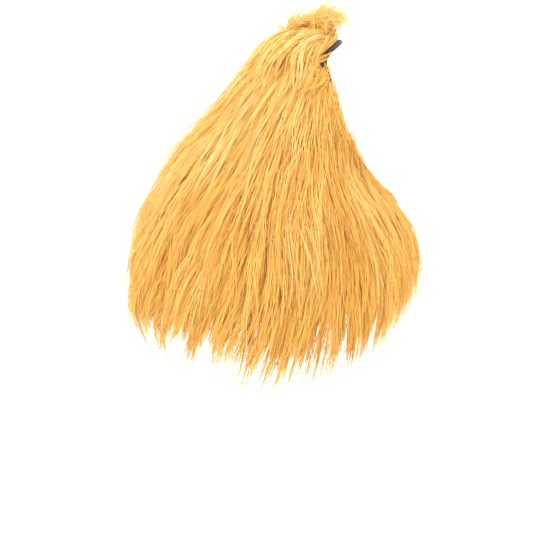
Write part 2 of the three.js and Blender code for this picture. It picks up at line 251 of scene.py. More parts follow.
def in_face(points, margin):
    """Whether points lie inside the face opening, widened all round by a margin."""
    along = (points - FACE_CENTRE) @ FACE_UP / (FACE_HEIGHT / 2 + margin)
    across = points[..., 0] / (FACE_WIDTH / 2 + margin) / egg_width(along)
    return across**2 + along**2 < 1


def edge_table(margin):
    """Levels, and the angle at which the ring at each leaves the face opening."""
    levels = EDGE_LEVELS
    inside, outside = np.zeros_like(levels), np.full_like(levels, math.pi / 2)
    for _ in range(EDGE_HALVINGS):
        trial = (inside + outside) / 2
        within = in_face(inner_point(trial, levels), margin)
        inside, outside = np.where(within, trial, inside), np.where(within, outside, trial)
    cut = in_face(inner_point(np.zeros_like(levels), levels), margin)
    return levels, np.where(cut, outside, 0)


PILE_EDGE = edge_table(FACE_SETBACK)


def cloth_angle(line, level, edges):
    """The angle at a share of the way from the opening's edge, at 0, to the middle of the back, at 1."""
    edge = np.interp(level, *edges)
    return np.sign(line) * (edge + (math.pi - edge) * np.abs(line))


def cloth_line(angle, level):
    """The share of the way from the opening's edge to the middle of the back at an angle."""
    edge = np.interp(level, *PILE_EDGE)
    return np.sign(angle) * (np.abs(angle) - edge) / (math.pi - edge)


def face_loop(margin, turn):
    """Angles and levels of points on the face opening's edge. turn is 0 at the brow and pi at the chin."""
    along = np.cos(turn)
    aside = np.sin(turn) * (FACE_WIDTH / 2 + margin) * egg_width(along)
    low, high = np.full(turn.shape, TINY), np.full(turn.shape, LOOP_FOOT)
    for _ in range(LOOP_HALVINGS):
        level = (low + high) / 2
        angle = np.arcsin(np.clip(aside / ring(level)[4], -1, 1))
        height = (inner_point(angle, level) - FACE_CENTRE) @ FACE_UP / (FACE_HEIGHT / 2 + margin)
        above = height > along
        low, high = np.where(above, level, low), np.where(above, high, level)
    return angle, level


FACE_RIM = inner_point(*face_loop(0.0, np.linspace(0, math.tau, RIM_STATIONS, endpoint=False)))


def beside_face(points):
    """How far points of the cloth lie from the nearest point of the face opening's edge."""
    return np.sqrt(((points[:, None] - FACE_RIM[None]) ** 2).sum(-1)).min(1)


class Flow:
    """Lines that the pile falls along, and how long they are from the crown down to each level.

    A line is 0 down the middle of the chest, 1 beside the face and 2 down the middle of the back.
    It is negative on the wearer's right.
    """

    def __init__(self):
        self.levels = FLOW_LEVELS
        levels, edge = edge_table(PARTING_MARGIN)
        widest = int(np.argmax(edge))
        self.widest = levels[widest]
        below = (self.levels - self.widest) / (2 - self.widest)
        upper = np.interp(self.levels, levels[: widest + 1], edge[: widest + 1])
        self.parting = upper * (1 - CHEST_GATHER * ease(below))
        self.lines = FLOW_LINES
        line, level = np.meshgrid(self.lines, self.levels, indexing="ij")
        points = inner_point(self.angle(line, level), level)
        steps = np.linalg.norm(np.diff(points, axis=1), axis=-1)
        self.length = np.concatenate([np.zeros((len(self.lines), 1)), np.cumsum(steps, 1)], 1)
        widths = np.linalg.norm(np.diff(points, axis=0), axis=-1) / (self.lines[1] - self.lines[0])
        self.width = np.maximum(np.concatenate([widths, widths[-1:]]), NARROWEST_PITCH)

    def angle(self, line, level):
        """The angle at which a line passes a level."""
        parting = np.interp(level, self.levels, self.parting)
        size = np.abs(line)
        outside = parting + (size - 1) * (math.pi - parting)
        return np.sign(line) * np.where(size < 1, size * parting, outside)

    def line(self, angle, level):
        """The line through a point of the cloth. Above the opening's widest level none is before 1."""
        parting = np.maximum(np.interp(level, self.levels, self.parting), 1e-6)
        size = np.where(level < self.widest, np.maximum(np.abs(angle), parting), np.abs(angle))
        outside = 1 + (size - parting) / (math.pi - parting)
        return np.sign(angle) * np.where(size < parting, size / parting, outside)

    def bins(self, line):
        """The nearest line of the grid, on either side of the wearer and round past the back."""
        folded = 2 - np.abs(2 - np.abs(line))
        return np.clip(np.rint(folded / 2 * (len(self.lines) - 1)).astype(int), 0, len(self.lines) - 1)

    def trace(self, line, level, distances):
        """Levels at the given distances down each flow line. distances has a row for each line."""
        result = np.empty_like(distances)
        bins = self.bins(line)
        for index in np.unique(bins):
            chosen = bins == index
            start = np.interp(level[chosen], self.levels, self.length[index])
            result[chosen] = np.interp(
                start[:, None] + distances[chosen], self.length[index], self.levels
            )
        return result

    def spacing(self, line, level):
        """How far apart lines 1 unit apart lie at a level."""
        column = np.searchsorted(self.levels, level).clip(0, len(self.levels) - 1)
        return self.width[self.bins(line), column]


FLOW = Flow()


class Plot:
    """A patch of the cloth from which roots are drawn evenly, as a fine grid of angles and levels."""

    def __init__(self, first, last, top, foot):
        self.levels = FLOW.levels[(FLOW.levels >= top) & (FLOW.levels <= foot)]
        self.angles = PLOT_ANGLES
        level, angle = np.meshgrid(self.levels, self.angles, indexing="ij")
        points = inner_point(angle, level)
        across, down = np.diff(points, axis=1)[:-1], np.diff(points, axis=0)[:, :-1]
        area = np.linalg.norm(np.cross(across, down), axis=-1)
        level, angle = level[:-1, :-1], angle[:-1, :-1]
        share = np.abs(cloth_line(angle, level)) * np.sign(angle)
        past, short = share >= first, share < last
        inside = past & short if first < last else past | short
        outside = np.abs(angle) > np.interp(level, *PILE_EDGE)
        self.weight = np.where(inside & outside, area, 0)

    def roots(self, count, rng):
        """Angles and levels of count roots, spread evenly over the plot."""
        number = np.arange(count)
        first = (rng.uniform() + number * EVEN_STEPS[0]) % 1
        second = (rng.uniform() + number * EVEN_STEPS[1]) % 1
        heap = np.concatenate([[0], np.cumsum(self.weight.sum(1))])
        place = np.interp(first * heap[-1], heap, np.arange(len(heap)))
        row = np.minimum(place.astype(int), len(self.weight) - 1)
        level = np.interp(place, np.arange(len(self.levels)), self.levels)
        angle = np.empty(count)
        for index in np.unique(row):
            chosen = row == index
            heap = np.concatenate([[0], np.cumsum(self.weight[index])])
            angle[chosen] = np.interp(second[chosen] * heap[-1], heap, self.angles)
        return angle, level


# A strand's width along its length, as shares, and its place on the map that its colours are read from
TAPER_PLACES = (0, 0.25, 0.65, 1)
TAPER_WIDTHS = (0.8, 1, 0.7, 0.06)
MAP_MARGIN = 0.005
MAP_HALF_WIDTH = 0.004
SIDES = 3


class Strands:
    """Tapered three-sided strands, gathered as arrays and made into one mesh."""

    def __init__(self, segments):
        self.segments = segments
        self.grown = []

    def add(self, points, widths, tones):
        self.grown.append((points, widths, tones))

    def vertices(self, points, width, rng):
        """A ring of three vertices at each station of each strand, and one at its tip."""
        centre = np.clip(points, *ROOM)
        count, rings = len(centre), self.segments
        along = unit(np.gradient(centre, axis=1))
        away = unit(rng.normal(size=(count, 1, 3)))
        side = unit(np.cross(along, away))
        face = np.cross(side, along)
        share = np.linspace(0, 1, rings + 1)
        radius = width[:, None] / 2 * np.interp(share, TAPER_PLACES, TAPER_WIDTHS)
        corners = []
        for corner in range(SIDES):
            turn = corner * math.tau / SIDES
            reach = side * math.cos(turn) + face * math.sin(turn)
            corners.append(centre + reach * radius[..., None])
        shell = np.stack(corners, 2)[:, :rings].reshape(count, rings * SIDES, 3)
        return np.concatenate([shell, centre[:, -1:]], 1)

    def places(self, tone):
        """Each vertex's place on the map: the strand's tone across it, and the share of its length up it."""
        count, rings = len(tone), self.segments
        share = np.linspace(0, 1, rings + 1)
        across = tone[:, None, None] + np.array((-MAP_HALF_WIDTH, 0, MAP_HALF_WIDTH))
        across = np.broadcast_to(np.clip(across, MAP_MARGIN, 1 - MAP_MARGIN), (count, rings, SIDES))
        u = np.concatenate([across.reshape(count, rings * SIDES), tone[:, None]], 1)
        v = MAP_MARGIN + (1 - 2 * MAP_MARGIN) * np.concatenate([np.repeat(share[:rings], SIDES), [1]])
        return np.stack([u, np.broadcast_to(v, u.shape)], -1)

    def faces(self):
        """The vertices of one strand's faces in a row, and how many each face has."""
        around = [(c, (c + 1) % SIDES) for c in range(SIDES)]
        quads = [
            (SIDES * r + c, SIDES * r + after, SIDES * (r + 1) + after, SIDES * (r + 1) + c)
            for r in range(self.segments - 1) for c, after in around
        ]
        last = SIDES * (self.segments - 1)
        triangles = [(2, 1, 0)] + [(last + c, last + after, last + SIDES) for c, after in around]
        row = np.array([i for face in quads + triangles for i in face])
        return row, np.array([4] * len(quads) + [3] * len(triangles))

    def build(self, name, rng):
        points, width, tone = (np.concatenate(arrays) for arrays in zip(*self.grown))
        vertices = self.vertices(points, width, rng)
        count, per_strand = vertices.shape[:2]
        row, sizes = self.faces()
        loops = (row[None] + per_strand * np.arange(count)[:, None]).ravel()
        starts = np.concatenate([[0], np.cumsum(np.tile(sizes, count))[:-1]])
        mesh = bpy.data.meshes.new(name)
        mesh.vertices.add(count * per_strand)
        mesh.vertices.foreach_set("co", vertices.astype(np.float32).ravel())
        mesh.loops.add(len(loops))
        mesh.loops.foreach_set("vertex_index", loops.astype(np.int32))
        mesh.polygons.add(len(starts))
        mesh.polygons.foreach_set("loop_start", starts.astype(np.int32))
        mesh.polygons.foreach_set("use_smooth", np.ones(len(starts), bool))
        layer = mesh.uv_layers.new(name=PILE_MAP)
        places = self.places(tone).reshape(-1, 2)[loops]
        layer.data.foreach_set("uv", places.astype(np.float32).ravel())
        mesh.update(calc_edges=True)
        mesh.validate()
        return mesh


# A lock's centre line is followed a little past its length, for the strands that outreach it
PATH_STATIONS = 15
PATH_REACH = 1.12
PATH_SHARES = np.linspace(0, PATH_REACH, PATH_STATIONS)

# How a hanging lock lies along its length: fully risen at a share of it, and sunk a little at the tip
RISEN_AT = 0.55
SINKS_FROM = 0.6
SINKS_OVER = 0.5
SINKS_BY = 0.2
KICK_POWER = 3
SWING_TURNS = (0.7, 1.1)
FACE_CLEARED_OVER = 0.3

# How the strands of a lock differ from one another
CLUMP_SIZES = (0.6, 1.5)
SHORTEST_STRAND = 0.6
GATHERED_AT = 0.85
SWAY_TURNS = (0.4, 1.25)
SWAY_POWER = 1.3
SWAY_DEPTH = 0.6
STRAND_WIDTHS = (0.7, 1.3)
STRAND_TONES = 0.075
# Painted light and shade across a lock's thickness: paler outside, deeper underneath
OUTER_PAINTED_LIGHT = 0.06


class Locks:
    """Centre lines of locks, and the frame along each."""

    def __init__(self, paths, outward, tone):
        self.paths = paths
        self.along = unit(np.gradient(paths, axis=1))
        self.side = unit(np.cross(self.along, outward))
        self.face = np.cross(self.side, self.along)
        self.tone = tone

    @classmethod
    def hanging(cls, line, level, length, low, high, kick, slant, wave, phase, tone, rng):
        """Locks that leave the cloth at a flow line and level and fall along the form."""
        count = len(line)
        share = PATH_SHARES
        levels = FLOW.trace(line, level, length[:, None] * share)
        phase = phase[:, None]
        turns = rng.uniform(*SWING_TURNS, (count, 1))
        swing = np.sin(phase + math.tau * turns * share) - np.sin(phase)
        drift = slant[:, None] * length[:, None] * share + wave[:, None] * swing
        lines = line[:, None] + drift / FLOW.spacing(line[:, None], levels)
        side = np.sign(line)[:, None]
        beside = 1 - ease((levels - FLOW.widest) / FACE_CLEARED_OVER)
        lines = np.where(np.abs(line)[:, None] < 1, lines, side * np.maximum(side * lines, beside))
        angle = FLOW.angle(lines, levels)
        rise = np.sin(math.pi / 2 * np.clip(share / RISEN_AT, 0, 1))
        settle = 1 - SINKS_BY * ease((share - SINKS_FROM) / SINKS_OVER)
        lift = WALL + low[:, None] + (high - low)[:, None] * rise * settle
        lift = lift + kick[:, None] * share**KICK_POWER
        return cls(skin_point(angle, levels, lift), skin_normal(angle, levels), tone)


def grow(strands, locks, per_lock, spread, thickness, width, pull, wander, rng):
    """Strands of each lock: they start spread round its root and gather towards its tip."""
    count = len(locks.paths)
    owner = np.repeat(np.arange(count), per_lock)
    total = len(owner)
    radius = (spread * rng.uniform(*CLUMP_SIZES, count))[owner] * np.sqrt(rng.uniform(0, 1, total))
    turn = rng.uniform(0, math.tau, total)
    beside, ahead = radius * np.cos(turn), radius * np.sin(turn)
    above = thickness * rng.uniform(-1, 1, total)
    reach = rng.uniform(SHORTEST_STRAND, PATH_REACH, total)
    share = np.linspace(0, 1, strands.segments + 1)
    place = reach[:, None] * share / PATH_REACH * (PATH_STATIONS - 1)
    index = np.clip(place.astype(int), 0, PATH_STATIONS - 2)
    part = (place - index)[..., None]

    def between(values):
        rows = owner[:, None]
        return values[rows, index] * (1 - part) + values[rows, index + 1] * part

    gathered = 1 - np.asarray(pull)[owner][:, None] * ease(share / GATHERED_AT)
    phase = rng.uniform(0, math.tau, (total, 2, 1))
    turns = rng.uniform(*SWAY_TURNS, (total, 2, 1))
    size = wander * np.abs(rng.normal(size=(total, 2, 1))) * share**SWAY_POWER
    sway = size * np.sin(phase + math.tau * turns * share)
    points = (
        between(locks.paths)
        + between(locks.side) * (beside[:, None] * gathered + sway[:, 0])[..., None]
        + between(locks.face) * (above[:, None] * gathered + sway[:, 1] * SWAY_DEPTH)[..., None]
        + between(locks.along) * (ahead[:, None] * gathered)[..., None]
    )
    widths = width * rng.uniform(*STRAND_WIDTHS, total)
    # Painted light and shade: strands on a lock's outer side are paler, those under it deeper
    tones = locks.tone[owner] + rng.normal(0, STRAND_TONES, total) + OUTER_PAINTED_LIGHT * above / thickness
    strands.add(points, widths, np.clip(tones, 0.01, 0.99))


def patches(angle, level):
    """Broad soft patches of paler and deeper pile, from -1 to 1."""
    across = np.sin(3 * angle + 5 * level) + np.sin(5 * angle - 7 * level + 1.7)
    down = np.sin(2 * angle + 11 * level + 0.6)
    return (across + down) / 3


def lean(angle, level):
    """How much the pile leans towards the back as it falls, as a slope."""
    towards_back = np.sin(np.abs(angle)) * (1 - np.cos(angle)) / 2
    return BACK_LEAN * towards_back * (0.35 + 0.65 * ease((level - 0.2) / 1.0))


def hollow(angle, level):
    """The hollow between the cheek's pile and the chest's, from 0 to 1. It follows one flow line."""
    middle = FLOW.line(*np.array(HOLLOW_AT))
    across = np.exp(-(((np.abs(FLOW.line(angle, level)) - middle) / HOLLOW_WIDTH) ** 2))
    return across * ease((level - 0.45) / 0.3) * ease((1.7 - level) / 0.5)


def lumps(points, seed, size):
    """A smooth random field over the cloth, mostly from -1 to 1, with lumps longer than they are wide."""
    rng = np.random.default_rng(seed)
    waves = unit(rng.normal(size=(LUMP_WAVES, 3))) * (1, 1, 0.45) * math.tau / size
    phases = rng.uniform(0, math.tau, LUMP_WAVES)
    return np.sin(points @ waves.T + phases).sum(-1) / math.sqrt(LUMP_WAVES)


def hem_drop(angle, points):
    """How far below the cloth's hem the tips come: in uneven groups, and shorter at the chest."""
    uneven = 0.9 + 0.17 * lumps(points * (1, 1, 0), *HEM_LUMPS)
    return TIP_BELOW_HEM * uneven * (1 - 0.22 * np.maximum(np.cos(angle), 0) ** 4)


def stand_out(angle, level):
    """Where single locks stand out from the rest: above the widest part, at the hem and on the chest."""
    chest = np.maximum(np.cos(angle), 0) ** 2 * ease((level - 0.8) / 0.3)
    return ease((1.1 - level) / 0.5) + 0.5 * ease((level - 1.7) / 0.25) + 0.6 * chest


def looseness(points):
    """The share of their spread that locks rooted at these points have: less beside the face."""
    return EDGE_CLOSE + (1 - EDGE_CLOSE) * ease(beside_face(points) / EDGE_COMB)


def plumpness(points, sunk):
    """The share of their height that locks have: less beside the face and in the hollow."""
    full = EDGE_PILE + (1 - EDGE_PILE) * ease(beside_face(points) / PILE_RAMP)
    return full * (1 - HOLLOW_DEPTH * sunk)


# The four layers of a panel's pile, from the under-pile to the loose strands. Lengths are in mm.
LAYERS = (
    # share of the strands, strands a lock, low, high, spread, width, pull, wander, slant, kick, tone
    # (painted shade on the deep layers, painted light on the high ones)
    (0.12, 7, 2, 10, 9, 3, 0.3, 1.5, 0.05, 0, -0.02),
    (0.42, 12, 4, 18, 8, 1.15, 0.56, 2.5, 0.05, 4, 0),
    (0.33, 8, 8, 24, 6.5, 0.85, 0.5, 3.5, 0.07, 11, 0.04),
    (0.13, 3, 10, 27, 9, 0.7, 0.25, 5.5, 0.13, 24, 0.08),
)

# What the layers share: how locks vary, how many stand out, and how the tones spread
PANEL_LENGTHS = (0.75, 1.15)
PANEL_ROOM = (0.66, 1)
PANEL_STANDING = 0.15
PANEL_KICKS = (-0.3, 1)
STANDING_KICK = 1.3
LEAN_UNEVEN = 0.12
WAVE_SIZES = (0.5, 1)
WAVE_LAG = 2.5
WAVE_LAG_UNEVEN = 0.7
FULL_THICKNESS = 2.2 * MM
FULL_HEIGHT = 19
LOCK_TONES = 0.07


def panel_tone(angle, level, lift_share):
    """Painted light: paler towards the crown and on the locks that lie high, and painted shade: deeper on
    those that lie low. Also paler at the chest and at the back.
    """
    tone = 0.38 + 0.22 * lift_share + 0.15 * (1 - level) + 0.06 * patches(angle, level)
    return tone + 0.07 * np.cos(angle) ** 2


def panel_strands(strands, plot, rng, settings, budget):
    """Under-pile, body locks, fine top locks and loose strands of a panel."""
    for part, per_lock, low, high, spread, width, pull, wander, slant, kick, layer_light_and_shade in LAYERS:
        count = int(budget * part / per_lock)
        angle, level = plot.roots(count, rng)
        root = inner_point(angle, level)
        sunk = hollow(angle, level)
        pile = plumpness(root, sunk)
        lift_share = 0.5 + 0.3 * lumps(root, *LIFT_LUMPS) + rng.uniform(-0.35, 0.35, count)
        lift_share = np.clip(lift_share, 0, 1)
        tallest = (low + (high - low) * lift_share) * MM * pile
        length = settings.lock_length * rng.uniform(*PANEL_LENGTHS, count)
        length *= 0.6 + 0.4 * ease(level / 0.6)
        hem = hem_rise(angle) - HOOD_DROP - CAPE_DROP
        room = root[:, 2] - hem + hem_drop(angle, root)
        length = np.minimum(length, room / PATH_REACH * rng.uniform(*PANEL_ROOM, count))
        tone = panel_tone(angle, level, lift_share)
        standing = np.where(rng.uniform(0, 1, count) < PANEL_STANDING, stand_out(angle, level), 0)
        leaning = np.sign(angle) * lean(angle, level) + LEAN_UNEVEN * lumps(root, *LEAN_LUMPS)
        kicks = rng.uniform(*PANEL_KICKS, count) + STANDING_KICK * standing
        # The locks' tones hold painted light and shade: paler on high locks and layers, deeper in the hollow
        locks = Locks.hanging(
            FLOW.line(angle, level), level, length, np.full(count, low * 0.4 * MM), tallest,
            kicks * kick * MM * pile, leaning + rng.normal(0, slant, count),
            rng.uniform(*WAVE_SIZES, count) * settings.waviness,
            WAVE_LAG * lumps(root, *WAVE_LUMPS) + rng.normal(0, WAVE_LAG_UNEVEN, count),
            tone + layer_light_and_shade - HOLLOW_SHADE * sunk + rng.normal(0, LOCK_TONES, count), rng,
        )
        grow(
            strands, locks, per_lock, spread * MM * looseness(root),
            FULL_THICKNESS * (high / FULL_HEIGHT), width * MM,
            np.clip(rng.normal(pull, 0.1, count), 0.2, 0.95), wander * MM, rng,
        )


# The pile at the face opening's edge. Turns are 0 at the brow and pi at the chin, and lengths are in mm.
RIM_PER_LOCK = 8
RIM_TURNS = (0.38, 2.8)
RIM_LENGTHS = (30, 70)
RIM_ROOTS = (-5.5, 3)
RIM_TIPS = (3, 24)
RIM_LOW = 1.5
RIM_RISES = (1, 8)


def rim_strands(strands, rng, budget):
    """Short pile that starts over the edging, but for the brow, and falls back from the face."""
    count = budget // RIM_PER_LOCK
    share = PATH_SHARES
    side = np.where(rng.uniform(0, 1, count) < 0.5, -1, 1)
    start = rng.uniform(*RIM_TURNS, count)
    length = rng.uniform(*RIM_LENGTHS, count) * MM
    turn = side[:, None] * (start[:, None] + length[:, None] / (FACE_HEIGHT / 2) * share)
    root, tip = rng.uniform(*RIM_ROOTS, count) * MM, rng.uniform(*RIM_TIPS, count) * MM
    margin = root[:, None] + (tip - root)[:, None] * ease(share)
    angle, level = face_loop(margin, turn)
    rise = rng.uniform(*RIM_RISES, (count, 1)) * np.sin(np.minimum(share, 1) * math.pi / 2)
    lift = WALL + (RIM_LOW + rise) * MM
    locks = Locks(
        skin_point(angle, level, lift), skin_normal(angle, level), 0.5 + rng.normal(0, 0.1, count)
    )
    grow(
        strands, locks, RIM_PER_LOCK, 4.2 * MM, 2.0 * MM, 0.95 * MM,
        np.clip(rng.normal(0.2, 0.1, count), 0.05, 0.6), 4 * MM, rng,
    )


def colour_setting(name, description, default):
    return FloatVectorProperty(
        name=name, description=description, default=default, subtype="COLOR", size=3, min=0, max=1,
    )


def length_setting(name, description, default, low, high):
    return FloatProperty(
        name=name, description=description, default=default, min=low, max=high, unit="LENGTH",
    )


def angle_setting(name, description, degrees):
    return FloatProperty(
        name=name, description=description, default=math.radians(degrees), subtype="ANGLE",
    )


class MANE_PG_pile(PropertyGroup):
    lock_length: length_setting("Lock length", "Length of a full lock of pile", 150 * MM, 20 * MM, 300 * MM)
    waviness: length_setting("Waviness", "How far a lock swings to each side", 3.5 * MM, 0, 20 * MM)
    panel_strands: IntProperty(
        name="Strands in a panel", description="Strands that a hanging panel is made of",
        default=6900, min=100, max=7000,
    )
    crown_strands: IntProperty(
        name="Strands on the crown", description="Strands of the crown's patch and tuft",
        default=4800, min=100, max=5000,
    )
    # root is the deepest strands' colour and also the painted shade near every strand's root
    root: colour_setting("Root", "Colour in the depth of the pile", (0.62, 0.28, 0.04))
    deep: colour_setting("Deep", "Colour of the darker strands", (0.81, 0.40, 0.07))
    middle: colour_setting("Middle", "Colour of most strands", (0.92, 0.53, 0.115))
    pale: colour_setting("Pale", "Colour of the palest strands", (0.97, 0.69, 0.26))
    roughness: FloatProperty(
        name="Roughness", description="How dull the strands are", subtype="FACTOR",
        default=0.7, min=0, max=1,
    )


class MANE_PG_cloth(PropertyGroup):
    knit: colour_setting("Knit", "Colour of the backing's yarn", (0.56, 0.33, 0.12))
    # shade is the painted shade between the stitches, and also the colour of the backing's mottle and seam
    shade: colour_setting("Shade", "Colour between the backing's stitches", (0.36, 0.19, 0.06))
    stitch: length_setting("Stitch", "Pitch of the backing's stitches", 1.6 * MM, 0.5 * MM, 5 * MM)
    elastic: colour_setting("Elastic", "Colour of the face's edging", (0.022, 0.018, 0.014))
    rib: length_setting("Rib", "Pitch of the edging's ribs", 1.4 * MM, 0.5 * MM, 5 * MM)


class MANE_PG_stage(PropertyGroup):
    azimuth: angle_setting("Azimuth", "Where the camera stands round the wig", -90)
    elevation: angle_setting("Elevation", "How high the camera looks down from", 13)
    distance: length_setting("Distance", "From the camera to the wig's middle plane", 1.6, 0.3, 10)
    lens: FloatProperty(
        name="Lens", description="Focal length on a sensor 36 mm wide",
        default=70, min=10, max=300,
    )
    key: FloatProperty(
        name="Key", description="Power of the large light, in watts", default=62, min=0, max=500,
    )
    fill: FloatProperty(
        name="Fill", description="Strength of the light from all round", default=1.3, min=0, max=5,
    )


class Value:
    """A shader socket in an expression. Each operation adds its Math node."""

    def __init__(self, shader, socket):
        self.shader, self.socket = shader, socket

    def math(self, operation, first, second=None):
        inputs = {0: first} if second is None else {0: first, 1: second}
        return self.shader.node("ShaderNodeMath", {"operation": operation}, inputs).value(0)

    def __add__(self, other):
        return self.math("ADD", self, other)

    __radd__ = __add__

    def __sub__(self, other):
        return self.math("SUBTRACT", self, other)

    def __rsub__(self, other):
        return self.math("SUBTRACT", other, self)

    def __mul__(self, other):
        return self.math("MULTIPLY", self, other)

    __rmul__ = __mul__

    def sine(self):
        return self.math("SINE", self)

    def steps(self, low, high):
        """0 below low, 1 above high, and a smooth rise between them."""
        settings = {"interpolation_type": "SMOOTHSTEP"}
        inputs = {"Value": self, "From Min": low, "From Max": high}
        return self.shader.node("ShaderNodeMapRange", settings, inputs).value(0)


class Node:
    """A node whose outputs are read as values."""

    def __init__(self, shader, node):
        self.shader, self.node = shader, node

    def value(self, output):
        return Value(self.shader, self.node.outputs[output])


class Shader:
    """A material with one principled surface, whose nodes are added by one method."""

    def __init__(self, name):
        self.material = bpy.data.materials.new(name)
        self.material.use_nodes = True
        self.tree = self.material.node_tree
        self.tree.nodes.clear()
        output = self.tree.nodes.new("ShaderNodeOutputMaterial")
        self.surface = self.tree.nodes.new("ShaderNodeBsdfPrincipled")
        self.tree.links.new(self.surface.outputs[0], output.inputs[0])

    def node(self, kind, settings=None, inputs=None):
        """Adds a node, makes its settings and then feeds its sockets."""
        node = self.tree.nodes.new(kind)
        for key, setting in (settings or {}).items():
            if key == "stops":
                self.fill_ramp(node.color_ramp, setting)
            else:
                setattr(node, key, setting)
        for key, value in (inputs or {}).items():
            self.feed(node.inputs[key], value)
        return Node(self, node)

    def feed(self, socket, value):
        if isinstance(value, Value):
            self.tree.links.new(value.socket, socket)
        elif isinstance(value, (tuple, list)) and len(value) == 3 and socket.type == "RGBA":
            socket.default_value = (*value, 1)
        else:
            socket.default_value = value

    def fill_ramp(self, ramp, stops):
        while len(ramp.elements) < len(stops):
            ramp.elements.new(1)
        for element, (position, color) in zip(ramp.elements, stops):
            element.position = position
            element.color = (*color, 1)

    def mix(self, factor, first, second):
        """A colour between two, read from the Mix node's colour sockets."""
        return self.node("ShaderNodeMix", {"data_type": "RGBA"}, {0: factor, 6: first, 7: second}).value(2)

    def map_places(self, name):
        """A map's places, whole and as their two numbers."""
        uv = self.node("ShaderNodeUVMap", {"uv_map": name}).value(0)
        split = self.node("ShaderNodeSeparateXYZ", None, {0: uv})
        return uv, split.value(0), split.value(1)

    def bump(self, strength, depth, height):
        inputs = {"Strength": strength, "Distance": depth, "Height": height}
        return self.node("ShaderNodeBump", None, inputs).value(0)

    def noise(self, vector, scale, detail=2.0):
        inputs = {"Vector": vector, "Scale": scale, "Detail": detail}
        return self.node("ShaderNodeTexNoise", None, inputs).value(0)

    def finish(self, **inputs):
        for key, value in inputs.items():
            self.feed(self.surface.inputs[key.replace("_", " ")], value)
        return self.material


def pile_material(name, pile):
    """Synthetic pile. Across its map runs the strand's tone, and up it the place along the strand."""
    shader = Shader(name)
    _, tone, along = shader.map_places(PILE_MAP)
    stops = (
        (0.0, pile.root), (0.24, pile.deep), (0.55, pile.middle), (0.86, pile.pale),
        (1.0, [0.2 + 0.8 * c for c in pile.pale]),
    )
    body = shader.node("ShaderNodeValToRGB", {"stops": stops}, {0: tone}).value(0)
    # Painted shade: each strand darkens towards the root colour near its root, deep in the pile
    buried = 1 - along.steps(0.0, 0.42)
    root_shaded = shader.mix(buried * 0.25, body, tuple(pile.root))
    # Paler towards the tips
    paler_tips = shader.mix(along.steps(0.5, 1.0) * 0.3, root_shaded, tuple(pile.pale))
    spot = shader.node("ShaderNodeCombineXYZ", None, {0: tone * 55, 1: along * 5}).value(0)
    streak = shader.noise(spot, 1.0)
    uneven = shader.mix(streak.steps(0.35, 0.75) * 0.25, paler_tips, tuple(pile.deep))
    return shader.finish(
        Base_Color=uneven, Roughness=pile.roughness, Specular_IOR_Level=0.15,
    )


def knit_material(name, cloth):
    """Warp knit: fine columns of stitches on the sheet's own map, which is in metres."""
    shader = Shader(name)
    uv, round_it, down_it = shader.map_places(CLOTH_MAP)
    turn = math.tau / cloth.stitch
    column = (round_it * turn).sine() * 0.5 + 0.5
    course = (down_it * turn * 1.3 + (round_it * turn).sine() * 1.2).sine() * 0.5 + 0.5
    stitch = column * 0.6 + course * 0.4
    patch = shader.noise(uv, 18.0, 3.0)
    # Painted shade: the colour goes to the shade colour where the stitches sink, as the bump does
    shade = shader.mix(stitch.steps(0.1, 0.8), tuple(cloth.shade), tuple(cloth.knit))
    seam = 1 - round_it.steps(cloth.stitch, 3 * cloth.stitch)
    color = shader.mix(patch.steps(0.3, 0.8) * 0.3 + seam * 0.4, shade, tuple(cloth.shade))
    bump = shader.bump(0.5, 0.4 * MM, stitch - seam * 2)
    return shader.finish(
        Base_Color=color, Roughness=0.92, Normal=bump, Sheen_Weight=0.2, Specular_IOR_Level=0.2,
    )


def elastic_material(name, cloth):
    """Ribbed elastic on the band's own map, which is in metres along and across the band."""
    shader = Shader(name)
    uv, along, across = shader.map_places(CLOTH_MAP)
    turn = math.tau / cloth.rib
    rib = (across * turn).sine() * 0.5 + 0.5
    pick = (along * turn * 1.7).sine() * 0.5 + 0.5
    height = rib * 0.75 + pick * 0.25
    fuzz = shader.noise(uv, 900.0, 2.0)
    # Painted highlight: the ribs' crests are mixed towards a colour three times the elastic's, with some
    # random fuzz
    light = tuple(3 * c for c in cloth.elastic)
    color = shader.mix(height.steps(0.3, 1.0) * 0.6 + fuzz * 0.2, tuple(cloth.elastic), light)
    bump = shader.bump(0.7, 0.5 * MM, height)
    return shader.finish(Base_Color=color, Roughness=0.75, Normal=bump, Sheen_Weight=0.1)


def put_in_scene(name, data):
    thing = bpy.data.objects.new(name, data)
    bpy.context.scene.collection.objects.link(thing)
    return thing


def add_piece(name, mesh, material, slot, *nodes):
    """Puts a piece in the scene in place of its nodes."""
    piece = put_in_scene(name, mesh)
    mesh.materials.append(material)
    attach(piece, BODY)
    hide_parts(*nodes)
    return piece


def mesh_of(name, bm):
    mesh = bpy.data.meshes.new(name)
    bm.to_mesh(mesh)
    bm.free()
    return mesh


def moulded_grid(columns, rows, place):
    """A bmesh grid whose vertices go where place(column, row) puts them, with those numbers as its map."""
    bm = bmesh.new()
    bmesh.ops.create_grid(bm, x_segments=columns, y_segments=rows, size=0.5)
    bm.verts.ensure_lookup_table()
    flat = np.array([v.co[:2] for v in bm.verts]) + 0.5
    column, row = np.rint(flat[:, 0] * columns).astype(int), np.rint(flat[:, 1] * rows).astype(int)
    points, cut = place(column, row)
    layer = bm.loops.layers.uv.new(CLOTH_MAP)
    for vertex, point in zip(bm.verts, points):
        vertex.co = point
    for face in bm.faces:
        face.smooth = True
        for loop in face.loops:
            loop[layer].uv = cut[loop.vert.index]
    return bm


# A half's grid: columns round it, and rows above, beside and below the face opening
HALF_COLUMNS = 60
ROWS_ABOVE = 4
ROWS_BESIDE = 32
ROWS_BELOW = 25
CROWN_LEVEL = 0.0005
FIRST_COLUMN = 1e-9
WELD = 0.02 * MM
INSIDE = Vector((0, 0.06, -0.2))


